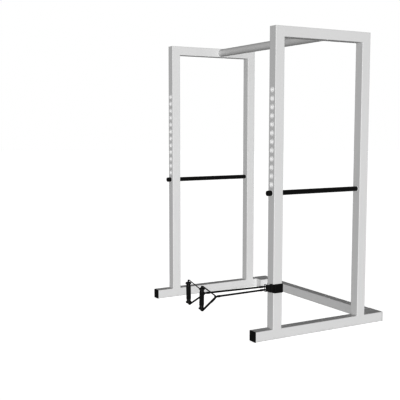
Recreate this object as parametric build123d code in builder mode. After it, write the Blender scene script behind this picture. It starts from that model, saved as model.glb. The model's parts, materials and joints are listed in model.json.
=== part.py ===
"""Power rack with a resistance-tube rowing set strapped to its right front upright.

Millimetres. +Z is up, +Y runs from the front of the rack to its rear, and +X is the right side
for a person who stands in front of the rack and looks at it. The origin is on the floor, under
the middle of the whole object's box: rack and held-out handles together.
"""
import os

from build123d import *

os.makedirs("parts", exist_ok=True)

# ---------------------------------------------------------------- driving dimensions: the rack
rack_width = 1610.0        # over the outer faces of both side frames
rack_height = 2200.0       # floor to the top of the top rails
tube = 75.0                # side of the square frame tube
wall = 3.0                 # its wall thickness
tube_radius = 4.0          # its outer corner radius
upright_gap = 703.0        # clear distance between a front and a rear upright
toe = 150.0                # base rail in front of the front upright, end cap included
heel = 185.0               # base rail behind the rear upright, end cap included
corner_block_length = 150.0
bar_diameter = 65.0        # pull-up bar
bar_wall = 4.0
bar_setback = 494.0        # its axis, behind the front faces of the front uprights
spigot_clearance = 0.5     # between a spigot and the tube that slides over it

# ---------------------------------------------------------------- driving dimensions: hole rows
hole_pitch = 60.0
free_holes = 12            # holes above the safety bar in each front upright
liner_radius = 19.4        # outside of the plastic hole liner
liner_bore = 18.0          # its bore radius
liner_seat = 19.5          # radius of the hole in the steel
flange_radius = 21.5
flange_height = 1.5

# ---------------------------------------------------------------- driving dimensions: safety bars
safety_height = 1045.0     # axis above the floor, in the lowest hole
safety_radius = 17.25
safety_wall = 3.0
safety_entry = 55.0        # how far the bar reaches into the rear upright
knob_radius = 18.5
knob_length = 34.0
knob_nose = 4.0            # rounding of its front edge

# ---------------------------------------------------------------- driving dimensions: row set
strap_low = 339.0          # lower edge of the anchor strap above the floor
strap_height = 62.0
strap_thickness = 3.0
resistance_diameter = 12.0
webbing_width = 20.0       # of the handle strap
webbing_thickness = 5.0    # webbing folded double
grip_offset = 115.0        # from the strap's apex link to the grip axis
strap_peaks = {"left": (108.5, -69.5), "right": (88.0, -88.0)}   # its corners over and under the tube's line
strap_corner = {"left": (-8.4, -0.9), "right": (-8.4, 0.0)}      # its corner round the link's bar
foam_half = 45.0           # half the length of the foam sleeve
foam_radius = 16.0
core_radius = 13.0
core_bore = 10.75
knob_rim = 20.0            # largest radius of the grip's end knobs
knob_neck = 14.0           # radius of their necks
pivot_x, pivot_y = 716.1, -14.0   # front leg of the anchor ring; y is from the front faces
eye_heights = {"left": 370.0, "right": 347.2}
grip_lift = {"left": 16.5, "right": 0.0}   # grip's middle above the line of its tube
# Apex of each handle strap: x, distance in front of the front faces, height above the floor.
apex_points = {"left": (655.0, 478.0, 362.5), "right": (768.0, 455.0, 358.2)}

# ---------------------------------------------------------------- places that follow from them
cap_flange = 4.0
bolt_head_height = 5.5
frame_x = rack_width / 2 - tube / 2              # centre plane of a side frame
rack_depth = upright_gap + 2 * tube
rail_end = rack_depth + heel                     # rear end of the base rails, from the front faces


def direction(side):
    """Unit vector from the anchor ring out along one tube, towards its handle."""
    apex_x, apex_reach, apex_z = apex_points[side]
    return Vector(apex_x - pivot_x, -apex_reach - pivot_y, apex_z - eye_heights[side]).normalized()


handle_reach = apex_points["left"][1] - grip_offset * direction("left").Y + knob_rim
front_y = (handle_reach - rail_end - bolt_head_height) / 2   # centres the object's box on Y = 0
rear_y = front_y + tube + upright_gap                        # front faces of the rear uprights
rail_front = front_y - toe
rail_rear = front_y + rail_end
hole_heights = [safety_height + hole_pitch * i for i in range(free_holes + 1)]
sides = {"left": -1, "right": 1}


def save(piece, label):
    """Name a finished piece and write its STEP file."""
    piece.part.label = label
    export_step(piece.part, f"parts/{label}.step")


def along_y(x, y, z):
    """Plane at a point, facing +Y, with its own x along +X."""
    return Plane(origin=(x, y, z), x_dir=(1, 0, 0), z_dir=(0, 1, 0))


def against_y(x, y, z):
    """Plane at a point, facing -Y, with its own x along +X and its own y along +Z."""
    return Plane(origin=(x, y, z), x_dir=(1, 0, 0), z_dir=(0, -1, 0))


def along_x(x, y, z):
    """Plane at a point, facing +X, with its own x along +Y and its own y along +Z."""
    return Plane(origin=(x, y, z), x_dir=(0, 1, 0), z_dir=(1, 0, 0))


# ================================================================ side frames
def straight_tube(label, plane, length):
    """Plain square tube, open at both ends, that runs along the plane's normal."""
    with BuildPart() as square_tube:
        with BuildSketch(plane):
            RectangleRounded(tube, tube, tube_radius)
            RectangleRounded(tube - 2 * wall, tube - 2 * wall, tube_radius - wall, mode=Mode.SUBTRACT)
        extrude(amount=length)
    save(square_tube, label)


def mitre_plane(y_outer, facing):
    """Plane of the 45 degree top joint; its normal points up and into the frame."""
    return Plane(origin=(0, y_outer, rack_height), z_dir=(0, facing, 1))


def upright(label, x, y_outer, facing, bored_heights, bore_depth):
    """Upright, mitred at the top, with a row of holes bored from its front face."""
    with BuildPart() as post:
        with BuildSketch(Plane((x, y_outer + facing * tube / 2, tube))):
            RectangleRounded(tube, tube, tube_radius)
            RectangleRounded(tube - 2 * wall, tube - 2 * wall, tube_radius - wall, mode=Mode.SUBTRACT)
        extrude(amount=rack_height - tube)
        split(bisect_by=mitre_plane(y_outer, facing), keep=Keep.BOTTOM)
        front_face = front_y if facing > 0 else rear_y
        with BuildSketch(against_y(x, front_face, 0)):
            with Locations(*[(0, z) for z in bored_heights]):
                Circle(liner_seat)
        extrude(amount=-bore_depth, mode=Mode.SUBTRACT)
    save(post, label)


def top_rail(label, x):
    """Top rail, mitred to the uprights at both ends."""
    with BuildPart() as rail:
        with BuildSketch(along_y(x, front_y, rack_height - tube / 2)):
            RectangleRounded(tube, tube, tube_radius)
            RectangleRounded(tube - 2 * wall, tube - 2 * wall, tube_radius - wall, mode=Mode.SUBTRACT)
        extrude(amount=rack_depth)
        split(bisect_by=mitre_plane(front_y, 1), keep=Keep.TOP)
        split(bisect_by=mitre_plane(front_y + rack_depth, -1), keep=Keep.TOP)
    save(rail, label)


def end_cap(label, plane):
    """Plastic tube end cap: a flange over the tube's end and a ribbed plug inside it."""
    plug = tube - 2 * wall - 0.6
    plug_length = 22.0
    rib = 1.2
    with BuildPart() as cap:
        with BuildSketch(plane):
            RectangleRounded(tube, tube, tube_radius)
        extrude(amount=cap_flange)
        chamfer(cap.faces().sort_by(Axis(plane.origin, plane.z_dir))[-1].edges(), 1.0)
        with BuildSketch(plane):
            RectangleRounded(plug - 2 * rib, plug - 2 * rib, 2)
            RectangleRounded(plug - 2 * rib - 5, plug - 2 * rib - 5, 1, mode=Mode.SUBTRACT)
        extrude(amount=-plug_length)
        for step in (5.0, 11.0, 17.0):
            with BuildSketch(plane.offset(-step)):
                RectangleRounded(plug, plug, 2)
                RectangleRounded(plug - 2 * rib - 2, plug - 2 * rib - 2, 1, mode=Mode.SUBTRACT)
            extrude(amount=-1.6)
    save(cap, label)


def front_plate(label, x):
    """Welded plate that closes the front end of a rear corner block."""
    with BuildPart() as plate:
        with BuildSketch(along_y(x, rail_rear - corner_block_length, tube / 2)):
            RectangleRounded(tube, tube, tube_radius)
        extrude(amount=cap_flange)
    save(plate, label)


for name, sign in sides.items():
    straight_tube(f"base_rail_{name}", along_y(sign * frame_x, rail_front + cap_flange, tube / 2),
                  toe + rail_end - 2 * cap_flange)
    upright(f"front_upright_{name}", sign * frame_x, front_y, 1, hole_heights, tube)
    upright(f"rear_upright_{name}", sign * frame_x, front_y + rack_depth, -1, hole_heights[:1], wall + 1)
    top_rail(f"top_rail_{name}", sign * frame_x)
    end_cap(f"base_cap_front_{name}", against_y(sign * frame_x, rail_front + cap_flange, tube / 2))
    end_cap(f"base_cap_rear_{name}", along_y(sign * frame_x, rail_rear - cap_flange, tube / 2))

# ================================================================ rear corner blocks and cross member
block_x = frame_x - tube
cross_half = block_x - tube / 2                  # half the length of the cross member
cross_y = rail_rear - tube / 2
spigot_size = tube - 2 * wall - 2 * spigot_clearance
spigot_length = 80.0
bolt_spots = (25.0, 55.0)                        # from the block's face, along the spigot
bolt_radius = 5.0
bolt_hole = 5.25

for name, sign in sides.items():
    front_plate(f"corner_plate_{name}", sign * block_x)
    straight_tube(f"corner_block_{name}",
                  along_y(sign * block_x, rail_rear - corner_block_length + cap_flange, tube / 2),
                  corner_block_length - 2 * cap_flange)
    end_cap(f"corner_cap_{name}", along_y(sign * block_x, rail_rear - cap_flange, tube / 2))

bolt_centres = [(sign * (cross_half - spot), 0) for sign in sides.values() for spot in bolt_spots]

with BuildPart() as rear_cross_member:
    with BuildSketch(along_x(-cross_half, cross_y, tube / 2)):
        RectangleRounded(tube, tube, tube_radius)
        RectangleRounded(tube - 2 * wall, tube - 2 * wall, tube_radius - wall, mode=Mode.SUBTRACT)
    extrude(amount=2 * cross_half)
    with BuildSketch(along_y(0, rail_rear, tube / 2)):
        with Locations(*bolt_centres):
            Circle(bolt_hole)
    extrude(amount=-(wall + 1), mode=Mode.SUBTRACT)
save(rear_cross_member, "rear_cross_member")

for name, sign in sides.items():
    with BuildPart() as cross_spigot:
        with BuildSketch(along_x(sign * cross_half, cross_y, tube / 2)):
            RectangleRounded(spigot_size, spigot_size, 2)
            RectangleRounded(spigot_size - 2 * wall, spigot_size - 2 * wall, 1, mode=Mode.SUBTRACT)
        extrude(amount=-sign * spigot_length)
        with BuildSketch(along_y(0, rail_rear, tube / 2)):
            with Locations(*bolt_centres):
                Circle(bolt_hole)
        extrude(amount=-(2 * wall + 2), mode=Mode.SUBTRACT)
    save(cross_spigot, f"cross_spigot_{name}")

nut_height = 8.0
nut_face = rail_rear - 2 * wall - spigot_clearance       # inner face of the spigot's rear wall

with BuildPart() as cross_bolts:
    with BuildSketch(along_y(0, rail_rear, tube / 2)):
        with Locations(*bolt_centres):
            Circle(bolt_radius)
    extrude(amount=-(2 * wall + nut_height + 4))
    with BuildSketch(along_y(0, rail_rear, tube / 2)):
        with Locations(*bolt_centres):
            Circle(9.5)
    extrude(amount=bolt_head_height)
    fillet(cross_bolts.edges().filter_by(GeomType.CIRCLE).group_by(Axis.Y)[-1], 2.5)
    with BuildSketch(along_y(0, rail_rear + bolt_head_height, tube / 2)):
        with Locations(*bolt_centres):
            RegularPolygon(3.0, 6, major_radius=False)
    extrude(amount=-3.5, mode=Mode.SUBTRACT)
save(cross_bolts, "cross_bolts")

with BuildPart() as cross_nuts:
    with BuildSketch(along_y(0, nut_face, tube / 2)):
        with Locations(*bolt_centres):
            RegularPolygon(8.5, 6, major_radius=False)
            Circle(bolt_radius + 0.05, mode=Mode.SUBTRACT)
    extrude(amount=-nut_height)
save(cross_nuts, "cross_nuts")

# ================================================================ pull-up bar
bar_y = front_y + bar_setback
bar_z = rack_height - tube / 2
bar_half = frame_x - tube / 2
bar_inner = bar_diameter / 2 - bar_wall
bar_spigot_radius = bar_inner - 0.3
bar_spigot_length = 60.0
screw_spots = (20.0, 42.0)
screw_radius = 5.0
screw_centres = [(sign * (bar_half - spot), 0) for sign in sides.values() for spot in screw_spots]

with BuildPart() as pull_up_bar:
    with BuildSketch(along_x(-bar_half, bar_y, bar_z)):
        Circle(bar_diameter / 2)
        Circle(bar_inner, mode=Mode.SUBTRACT)
    extrude(amount=2 * bar_half)
    with BuildSketch(along_y(0, bar_y, bar_z)):
        with Locations(*screw_centres):
            Circle(screw_radius + 0.1)
    extrude(amount=bar_diameter, mode=Mode.SUBTRACT)
save(pull_up_bar, "pull_up_bar")

for name, sign in sides.items():
    with BuildPart() as bar_spigot:
        with BuildSketch(along_x(sign * bar_half, bar_y, bar_z)):
            Circle(bar_spigot_radius)
            Circle(bar_spigot_radius - bar_wall, mode=Mode.SUBTRACT)
        extrude(amount=-sign * bar_spigot_length)
    save(bar_spigot, f"bar_spigot_{name}")

with BuildPart() as bar_set_screws:
    screw_length = bar_diameter / 2 - 1.0 - bar_spigot_radius
    with BuildSketch(along_y(0, bar_y + bar_spigot_radius + 0.02, bar_z)):
        with Locations(*screw_centres):
            Circle(screw_radius)
    extrude(amount=screw_length)
    with BuildSketch(along_y(0, bar_y + bar_spigot_radius + screw_length, bar_z)):
        with Locations(*screw_centres):
            RegularPolygon(2.5, 6, major_radius=False)
    extrude(amount=-2.0, mode=Mode.SUBTRACT)
save(bar_set_screws, "bar_set_screws")

# ================================================================ hole liners and rear sockets
for name, sign in sides.items():
    liner_centres = [(0, z) for z in hole_heights]
    with BuildPart() as hole_liners:
        with BuildSketch(against_y(sign * frame_x, front_y, 0)):
            with Locations(*liner_centres):
                Circle(liner_radius)
                Circle(liner_bore, mode=Mode.SUBTRACT)
        extrude(amount=-tube)
        with BuildSketch(against_y(sign * frame_x, front_y, 0)):
            with Locations(*liner_centres):
                Circle(flange_radius)
                Circle(liner_bore, mode=Mode.SUBTRACT)
        extrude(amount=flange_height)
        front_edges = hole_liners.edges().filter_by(GeomType.CIRCLE).group_by(Axis.Y)[0]
        chamfer(front_edges.group_by(SortBy.RADIUS)[-1], 0.6)   # the bore keeps its square mouth
    save(hole_liners, f"hole_liners_{name}")

    socket_depth = safety_entry + 4.0
    with BuildPart() as rear_socket:
        with BuildSketch(against_y(sign * frame_x, rear_y, safety_height)):
            Circle(flange_radius)
        extrude(amount=flange_height)
        chamfer(rear_socket.edges().filter_by(GeomType.CIRCLE).group_by(Axis.Y)[0], 0.6)
        with BuildSketch(against_y(sign * frame_x, rear_y, safety_height)):
            Circle(liner_radius)
        extrude(amount=-socket_depth)
        with BuildSketch(against_y(sign * frame_x, rear_y - flange_height, safety_height)):
            Circle(liner_bore)
        extrude(amount=-(socket_depth + flange_height - 2), mode=Mode.SUBTRACT)
    save(rear_socket, f"rear_socket_{name}")

# ================================================================ safety bars
knob_gap = 0.5                                   # between the knob and the liner's flange
knob_rear = front_y - flange_height - knob_gap
safety_front = knob_rear - knob_length + 5.0     # front end of the steel, inside the knob
safety_rear = rear_y + safety_entry
plug_head = 3.0

for name, sign in sides.items():
    x = sign * frame_x
    bar_axis = Axis((x, 0, safety_height), (0, 1, 0))
    with BuildPart() as safety_bar:
        with BuildSketch(along_y(x, safety_front, safety_height)):
            Circle(safety_radius)
            Circle(safety_radius - safety_wall, mode=Mode.SUBTRACT)
        extrude(amount=safety_rear - plug_head - safety_front)
    save(safety_bar, f"safety_bar_{name}")

    with BuildPart() as safety_knob:
        with BuildSketch(Plane(origin=(x, 0, safety_height), x_dir=(1, 0, 0), z_dir=(0, 0, 1))):
            with BuildLine():
                Polyline((0, knob_rear - knob_length), (knob_radius - knob_nose, knob_rear - knob_length))
                RadiusArc((knob_radius - knob_nose, knob_rear - knob_length),
                          (knob_radius, knob_rear - knob_length + knob_nose), -knob_nose)
                Polyline((knob_radius, knob_rear - knob_length + knob_nose), (knob_radius, knob_rear - 0.6),
                         (knob_radius - 0.6, knob_rear), (safety_radius + 0.05, knob_rear),
                         (safety_radius + 0.05, safety_front), (0, safety_front),
                         (0, knob_rear - knob_length))
            make_face()
        revolve(axis=bar_axis)
    save(safety_knob, f"safety_knob_{name}")

    with BuildPart() as safety_plug:
        with BuildSketch(along_y(x, safety_rear - plug_head, safety_height)):
            Circle(safety_radius)
        extrude(amount=plug_head)
        chamfer(safety_plug.edges().filter_by(GeomType.CIRCLE).group_by(Axis.Y)[-1], 1.2)
        with BuildSketch(along_y(x, safety_rear - plug_head, safety_height)):
            Circle(safety_radius - safety_wall - 0.05)
            Circle(safety_radius - safety_wall - 3, mode=Mode.SUBTRACT)
        extrude(amount=-20)
    save(safety_plug, f"safety_plug_{name}")

# ================================================================ anchor strap and ring
strap_gap = 0.2
strap_inner = tube + 2 * strap_gap
strap_outer = strap_inner + 2 * strap_thickness
post_centre = (frame_x, front_y + tube / 2)
fold_width = 50.0          # height of the narrower strap end that holds the ring
fold_low = 337.1
ring_wire = 2.0            # radius
ring_leg = (726.3, front_y - 6.5)                # leg of the ring inside the webbing fold
pivot = (pivot_x, front_y + pivot_y)             # free leg, which carries both tube eyes
ring_low, ring_high = 334.0, 387.0               # wire centres of the ring's ends
fold_radius = 5.1
fold_height = 46.8

with BuildPart() as anchor_strap:
    with BuildSketch(Plane((*post_centre, strap_low))):
        RectangleRounded(strap_outer, strap_outer, tube_radius + strap_thickness)
        RectangleRounded(strap_inner, strap_inner, tube_radius, mode=Mode.SUBTRACT)
    extrude(amount=strap_height)
    # The front run steps down to the narrower end that holds the ring.
    step_x = frame_x
    step_low = fold_low + fold_width
    with BuildSketch(against_y(0, front_y - strap_outer, 0)):
        with Locations((step_x - tube / 2, step_low + strap_height / 2)):
            Rectangle(tube, strap_height)
    extrude(amount=-(strap_outer - strap_gap), mode=Mode.SUBTRACT)
save(anchor_strap, "anchor_strap")

# Second turn of the strap: round the outer side, the rear and the inner side of the upright.
tail_inner = strap_outer + 0.2
tail_outer = tail_inner + 2 * strap_thickness
tail_start = front_y + 6.0
with BuildPart() as anchor_tail:
    with BuildSketch(Plane((*post_centre, strap_low - 2))):
        RectangleRounded(tail_outer, tail_outer, tube_radius + 2 * strap_thickness)
        RectangleRounded(tail_inner, tail_inner, tube_radius + strap_thickness, mode=Mode.SUBTRACT)
        with Locations((0, tail_start - post_centre[1] - tail_outer / 2)):
            Rectangle(tail_outer + 1, tail_outer, mode=Mode.SUBTRACT)
    extrude(amount=strap_height - 2)
save(anchor_tail, "anchor_tail")

with BuildPart() as anchor_fold:
    with BuildSketch(Plane((*ring_leg, fold_low))):
        Circle(fold_radius)
        Circle(ring_wire + 0.1, mode=Mode.SUBTRACT)
    extrude(amount=fold_height)
save(anchor_fold, "anchor_fold")

leg_gap = Vector(pivot[0] - ring_leg[0], pivot[1] - ring_leg[1], 0)
ring_middle = (Vector(*ring_leg, 0) + Vector(*pivot, 0)) * 0.5 + Vector(0, 0, (ring_low + ring_high) / 2)
ring_plane = Plane(origin=ring_middle, x_dir=leg_gap, z_dir=leg_gap.cross(Vector(0, 0, 1)))
half_gap = leg_gap.length / 2
half_height = (ring_high - ring_low) / 2
with BuildPart() as anchor_ring:
    with BuildLine(ring_plane) as ring_line:
        FilletPolyline((half_gap, half_height), (-half_gap, half_height), (-half_gap, -half_height),
                       (half_gap, -half_height), radius=2.9, close=True)
    with BuildSketch(ring_line.wire() ^ 0):
        Circle(ring_wire)
    sweep(path=ring_line.wire())
save(anchor_ring, "anchor_ring")

# ================================================================ resistance tubes and handles
eye_radius = 7.2
eye_thickness = 13.0
eye_neck = 6.0
eye_bore = ring_wire + 0.3                       # the eye swings on the ring's leg
ferrule_radius = 7.8
tube_seat = resistance_diameter / 2 + 0.05
eye_sleeve = (13.0, 40.0)                        # start and end of the anchor-end sleeve
tube_start = 18.0                                # where the tube begins, inside that sleeve
handle_sleeve = (-42.0, -15.0)                   # the same for the handle end, from the apex
tube_stop = -20.0
link_wire = 2.0
link_span = 14.0                                 # between the link's two bars
link_half_width = 12.5
knob_low, knob_high = 45.0, 74.0
core_half = 67.0
strap_bend = 4.3                                 # radius of the strap's middle at each corner

for name in sides:
    along = direction(name)
    across = along.cross(Vector(0, 0, 1)).normalized()
    up = across.cross(along)
    eye = Vector(*pivot, eye_heights[name])
    apex = Vector(apex_points[name][0], front_y - apex_points[name][1], apex_points[name][2])
    grip = apex + along * grip_offset + up * grip_lift[name]
    pull_length = (apex - eye).length

    # Anchor-end eye: a moulded sleeve that grips the tube and turns on the ring's free leg.
    with BuildPart() as tube_eye:
        with BuildSketch(Plane(origin=eye - Vector(0, 0, eye_thickness / 2), z_dir=(0, 0, 1))):
            Circle(eye_radius)
        extrude(amount=eye_thickness)
        with BuildSketch(Plane(origin=eye + along * 5, z_dir=along)):
            Circle(eye_neck)
        extrude(amount=eye_sleeve[0] - 4)
        with BuildSketch(Plane(origin=eye + along * eye_sleeve[0], z_dir=along)):
            Circle(ferrule_radius)
        extrude(amount=eye_sleeve[1] - eye_sleeve[0])
        with BuildSketch(Plane(origin=eye + along * tube_start, z_dir=along)):
            Circle(tube_seat)
        extrude(amount=eye_sleeve[1], mode=Mode.SUBTRACT)
        with BuildSketch(Plane(origin=eye - Vector(0, 0, eye_thickness), z_dir=(0, 0, 1))):
            Circle(eye_bore)
        extrude(amount=2 * eye_thickness, mode=Mode.SUBTRACT)
    save(tube_eye, f"tube_eye_{name}")

    # The stretched tube: one straight run from the anchor-end sleeve to the handle's sleeve.
    tube_length = pull_length + tube_stop - tube_start
    with BuildPart() as resistance_tube:
        with BuildSketch(Plane(origin=eye + along * tube_start, z_dir=along)):
            Circle(resistance_diameter / 2)
        extrude(amount=tube_length)
    save(resistance_tube, f"resistance_tube_{name}")
    print(f"resistance_tube_{name}: one straight run of {tube_length:.1f} mm")

    # Handle-end sleeve with the eye that holds the strap's link.
    with BuildPart() as handle_sleeve_part:
        with BuildSketch(Plane(origin=apex + along * handle_sleeve[0], z_dir=along)):
            Circle(ferrule_radius)
        extrude(amount=handle_sleeve[1] - handle_sleeve[0])
        with BuildSketch(Plane(origin=apex - along * link_span - across * 5, z_dir=across)):
            Circle(5.0)
        extrude(amount=10)
        with BuildSketch(Plane(origin=apex + along * handle_sleeve[0], z_dir=along)):
            Circle(tube_seat)
        extrude(amount=tube_stop - handle_sleeve[0], mode=Mode.SUBTRACT)
        with BuildSketch(Plane(origin=apex - along * link_span - across * 10, z_dir=across)):
            Circle(link_wire + 0.1)
        extrude(amount=20, mode=Mode.SUBTRACT)
    save(handle_sleeve_part, f"handle_sleeve_{name}")

    # Steel link: a small rectangle of wire between the sleeve's eye and the strap.
    link_plane = Plane(origin=apex - along * (link_span / 2), x_dir=along, z_dir=up)
    half_span = link_span / 2
    with BuildPart() as handle_link:
        with BuildLine(link_plane) as link_line:
            FilletPolyline((half_span, link_half_width), (-half_span, link_half_width),
                           (-half_span, -link_half_width), (half_span, -link_half_width),
                           radius=2.4, close=True)
        with BuildSketch(link_line.wire() ^ 0):
            Circle(link_wire)
        sweep(path=link_line.wire())
    save(handle_link, f"handle_link_{name}")

    # Strap: a closed triangle of webbing, round the link's bar and through the grip's bore.
    handle_plane = Plane(origin=apex, x_dir=along, z_dir=across)
    peak_over, peak_under = strap_peaks[name]
    strap_corners = (strap_corner[name], (grip_offset, peak_over), (grip_offset, peak_under))
    half_webbing = webbing_thickness / 2
    with BuildPart() as handle_strap:
        with BuildSketch(handle_plane):
            with BuildLine():
                FilletPolyline(*strap_corners, radius=strap_bend, close=True)
                offset(amount=half_webbing, mode=Mode.REPLACE)
            make_face()
            with BuildLine():
                FilletPolyline(*strap_corners, radius=strap_bend, close=True)
                offset(amount=-half_webbing, mode=Mode.REPLACE)
            make_face(mode=Mode.SUBTRACT)
        extrude(amount=webbing_width / 2, both=True)
    save(handle_strap, f"handle_strap_{name}")

    # Grip: core tube, foam sleeve and two flared knobs, free to turn round the strap.
    grip_plane = Plane(origin=grip, x_dir=along, z_dir=across)
    grip_axis = Axis(grip, up)
    with BuildPart() as grip_core:
        with BuildSketch(Plane(origin=grip - up * core_half, z_dir=up)):
            Circle(core_radius)
            Circle(core_bore, mode=Mode.SUBTRACT)
        extrude(amount=2 * core_half)
    save(grip_core, f"grip_core_{name}")

    with BuildPart() as grip_foam:
        with BuildSketch(Plane(origin=grip - up * foam_half, z_dir=up)):
            Circle(foam_radius)
            Circle(core_radius + 0.05, mode=Mode.SUBTRACT)
        extrude(amount=2 * foam_half)
    save(grip_foam, f"grip_foam_{name}")

    for end, flip in (("top", 1), ("bottom", -1)):
        with BuildPart() as grip_knob:
            with BuildSketch(grip_plane):
                with BuildLine():
                    Polyline((core_radius + 0.05, flip * knob_low), (knob_neck, flip * knob_low),
                             (knob_neck, flip * (knob_low + 12)))
                    ThreePointArc((knob_neck, flip * (knob_low + 12)),
                                  (knob_neck + 1.5, flip * (knob_low + 16.3)),
                                  (knob_rim, flip * (knob_low + 18)))
                    Polyline((knob_rim, flip * (knob_low + 18)), (knob_rim, flip * (knob_low + 23)),
                             (knob_rim - 1, flip * (knob_low + 24.8)),
                             (core_bore + 1.2, flip * knob_high), (core_bore, flip * (knob_high - 1)),
                             (core_bore, flip * core_half), (core_radius + 0.05, flip * core_half),
                             (core_radius + 0.05, flip * knob_low))
                make_face()
            revolve(axis=grip_axis)
        save(grip_knob, f"grip_knob_{end}_{name}")
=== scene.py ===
"""Looks of a power rack with a resistance-tube rowing set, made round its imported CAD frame.

Metres, in the CAD frame: +Z up, +Y from the rack's front to its rear, +X to its right.
"""
import json
import math

import bmesh
import bpy
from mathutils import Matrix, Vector, noise


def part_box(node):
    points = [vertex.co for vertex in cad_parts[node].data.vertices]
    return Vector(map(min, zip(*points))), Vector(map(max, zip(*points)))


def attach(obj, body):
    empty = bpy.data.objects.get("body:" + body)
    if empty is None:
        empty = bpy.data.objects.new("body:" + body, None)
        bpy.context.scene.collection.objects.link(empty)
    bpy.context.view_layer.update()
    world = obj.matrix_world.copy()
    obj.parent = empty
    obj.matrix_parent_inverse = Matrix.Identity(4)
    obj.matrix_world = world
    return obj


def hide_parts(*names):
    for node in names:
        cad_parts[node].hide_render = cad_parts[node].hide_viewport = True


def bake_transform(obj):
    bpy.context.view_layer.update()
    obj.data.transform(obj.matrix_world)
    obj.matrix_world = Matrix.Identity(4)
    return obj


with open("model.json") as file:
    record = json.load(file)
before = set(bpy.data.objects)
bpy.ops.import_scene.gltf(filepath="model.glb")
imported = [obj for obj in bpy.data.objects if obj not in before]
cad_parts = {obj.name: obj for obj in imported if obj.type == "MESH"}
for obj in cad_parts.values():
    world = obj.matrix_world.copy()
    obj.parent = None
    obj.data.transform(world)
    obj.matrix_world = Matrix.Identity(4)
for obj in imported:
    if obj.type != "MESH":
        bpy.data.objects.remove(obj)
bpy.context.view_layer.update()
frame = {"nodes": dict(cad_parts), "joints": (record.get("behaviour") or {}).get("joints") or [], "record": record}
scene = bpy.context.scene
joints = {joint["name"]: joint for joint in frame["joints"]}
SIDES = {"left": -1, "right": 1}
X, Y, Z = Vector((1, 0, 0)), Vector((0, 1, 0)), Vector((0, 0, 1))
MM = 0.001
SHARP_DEG = 38              # faces that meet at more than this are shaded with an edge


# ---------------------------------------------------------------- camera, light and floor
def make_camera():
    """Camera at the viewing angle of the reference, level, looking slightly down."""
    place = Vector((5.0136, -3.1949, 1.5137))
    turned_left = math.radians(60.475)
    tipped_down = math.radians(5.715)
    view = Vector((-math.sin(turned_left) * math.cos(tipped_down),
                   math.cos(turned_left) * math.cos(tipped_down),
                   -math.sin(tipped_down)))
    lens = bpy.data.cameras.new("camera")
    lens.sensor_width = 36.0
    lens.lens = 66.52
    camera = bpy.data.objects.new("camera", lens)
    scene.collection.objects.link(camera)
    camera.location = place
    camera.rotation_euler = view.to_track_quat("-Z", "Y").to_euler()
    scene.camera = camera


def sun(name, comes_from, strength, width_deg, casts_shadow=True, shines=True):
    """A distant lamp; the wider it is, the softer its shadows."""
    lamp = bpy.data.lights.new(name, "SUN")
    lamp.energy = strength
    lamp.angle = math.radians(width_deg)
    lamp.use_shadow = casts_shadow
    lamp_object = bpy.data.objects.new(name, lamp)
    scene.collection.objects.link(lamp_object)
    lamp_object.rotation_euler = Vector(comes_from).to_track_quat("Z", "Y").to_euler()
    lamp_object.visible_glossy = shines


def make_lights():
    """A level key from the reference's viewing side, a weaker fill from behind, and an even sky.

    The reference has hardly any cast shadow, so most of the key casts none."""
    key_side = (0.86, -0.51, 0.03)
    sun("key", key_side, 2.76, 20, casts_shadow=False)
    sun("key_soft_shadow", key_side, 0.90, 50)
    sun("fill", (-0.86, 0.50, -0.04), 3.0, 40, casts_shadow=False, shines=False)
    world = bpy.data.worlds.new("studio")
    world.use_nodes = True
    world.node_tree.nodes["Background"].inputs["Color"].default_value = (1, 1, 1, 1)
    world.node_tree.nodes["Background"].inputs["Strength"].default_value = 0.22
    scene.world = world
    scene.view_settings.view_transform = "Standard"
    scene.view_settings.gamma = 0.75


def glowing(name, shade, glow):
    """Pale stage paint that also glows to the camera, so that it stays white under soft light."""
    paint = bpy.data.materials.new(name)
    paint.use_nodes = True
    shader = paint.node_tree.nodes["Principled BSDF"]
    shader.inputs["Base Color"].default_value = (shade, shade, shade, 1)
    shader.inputs["Roughness"].default_value = 1.0
    shader.inputs["Specular IOR Level"].default_value = 0.0
    shader.inputs["Emission Color"].default_value = (1, 1, 1, 1)
    shader.inputs["Emission Strength"].default_value = glow
    paint.cycles.emission_sampling = "NONE"
    return paint


def make_stage():
    """A pale floor disc, and a dome over it that closes the view above the horizon."""
    radius = 40.0
    floor_mesh = bmesh.new()
    bmesh.ops.create_circle(floor_mesh, cap_ends=True, segments=96, radius=radius)
    floor = plain_object("floor", floor_mesh, glowing("floor_paint", 0.8, 0.76))
    dome_mesh = bmesh.new()
    bmesh.ops.create_uvsphere(dome_mesh, u_segments=96, v_segments=48, radius=radius)
    dome = plain_object("dome", dome_mesh, glowing("dome_paint", 0.0, 1.0))
    for backdrop in (floor, dome):
        backdrop.visible_diffuse = False
        backdrop.visible_glossy = False
        backdrop.visible_shadow = False


def plain_object(name, built, material):
    """An object from a bmesh, smooth-shaded with sharp edges where faces meet at an angle."""
    bmesh.ops.recalc_face_normals(built, faces=built.faces)
    mesh = bpy.data.meshes.new(name)
    built.to_mesh(mesh)
    built.free()
    mesh.materials.append(material)
    mesh.shade_smooth()
    mesh.set_sharp_from_angle(angle=math.radians(SHARP_DEG))
    made = bpy.data.objects.new(name, mesh)
    scene.collection.objects.link(made)
    return made


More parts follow.
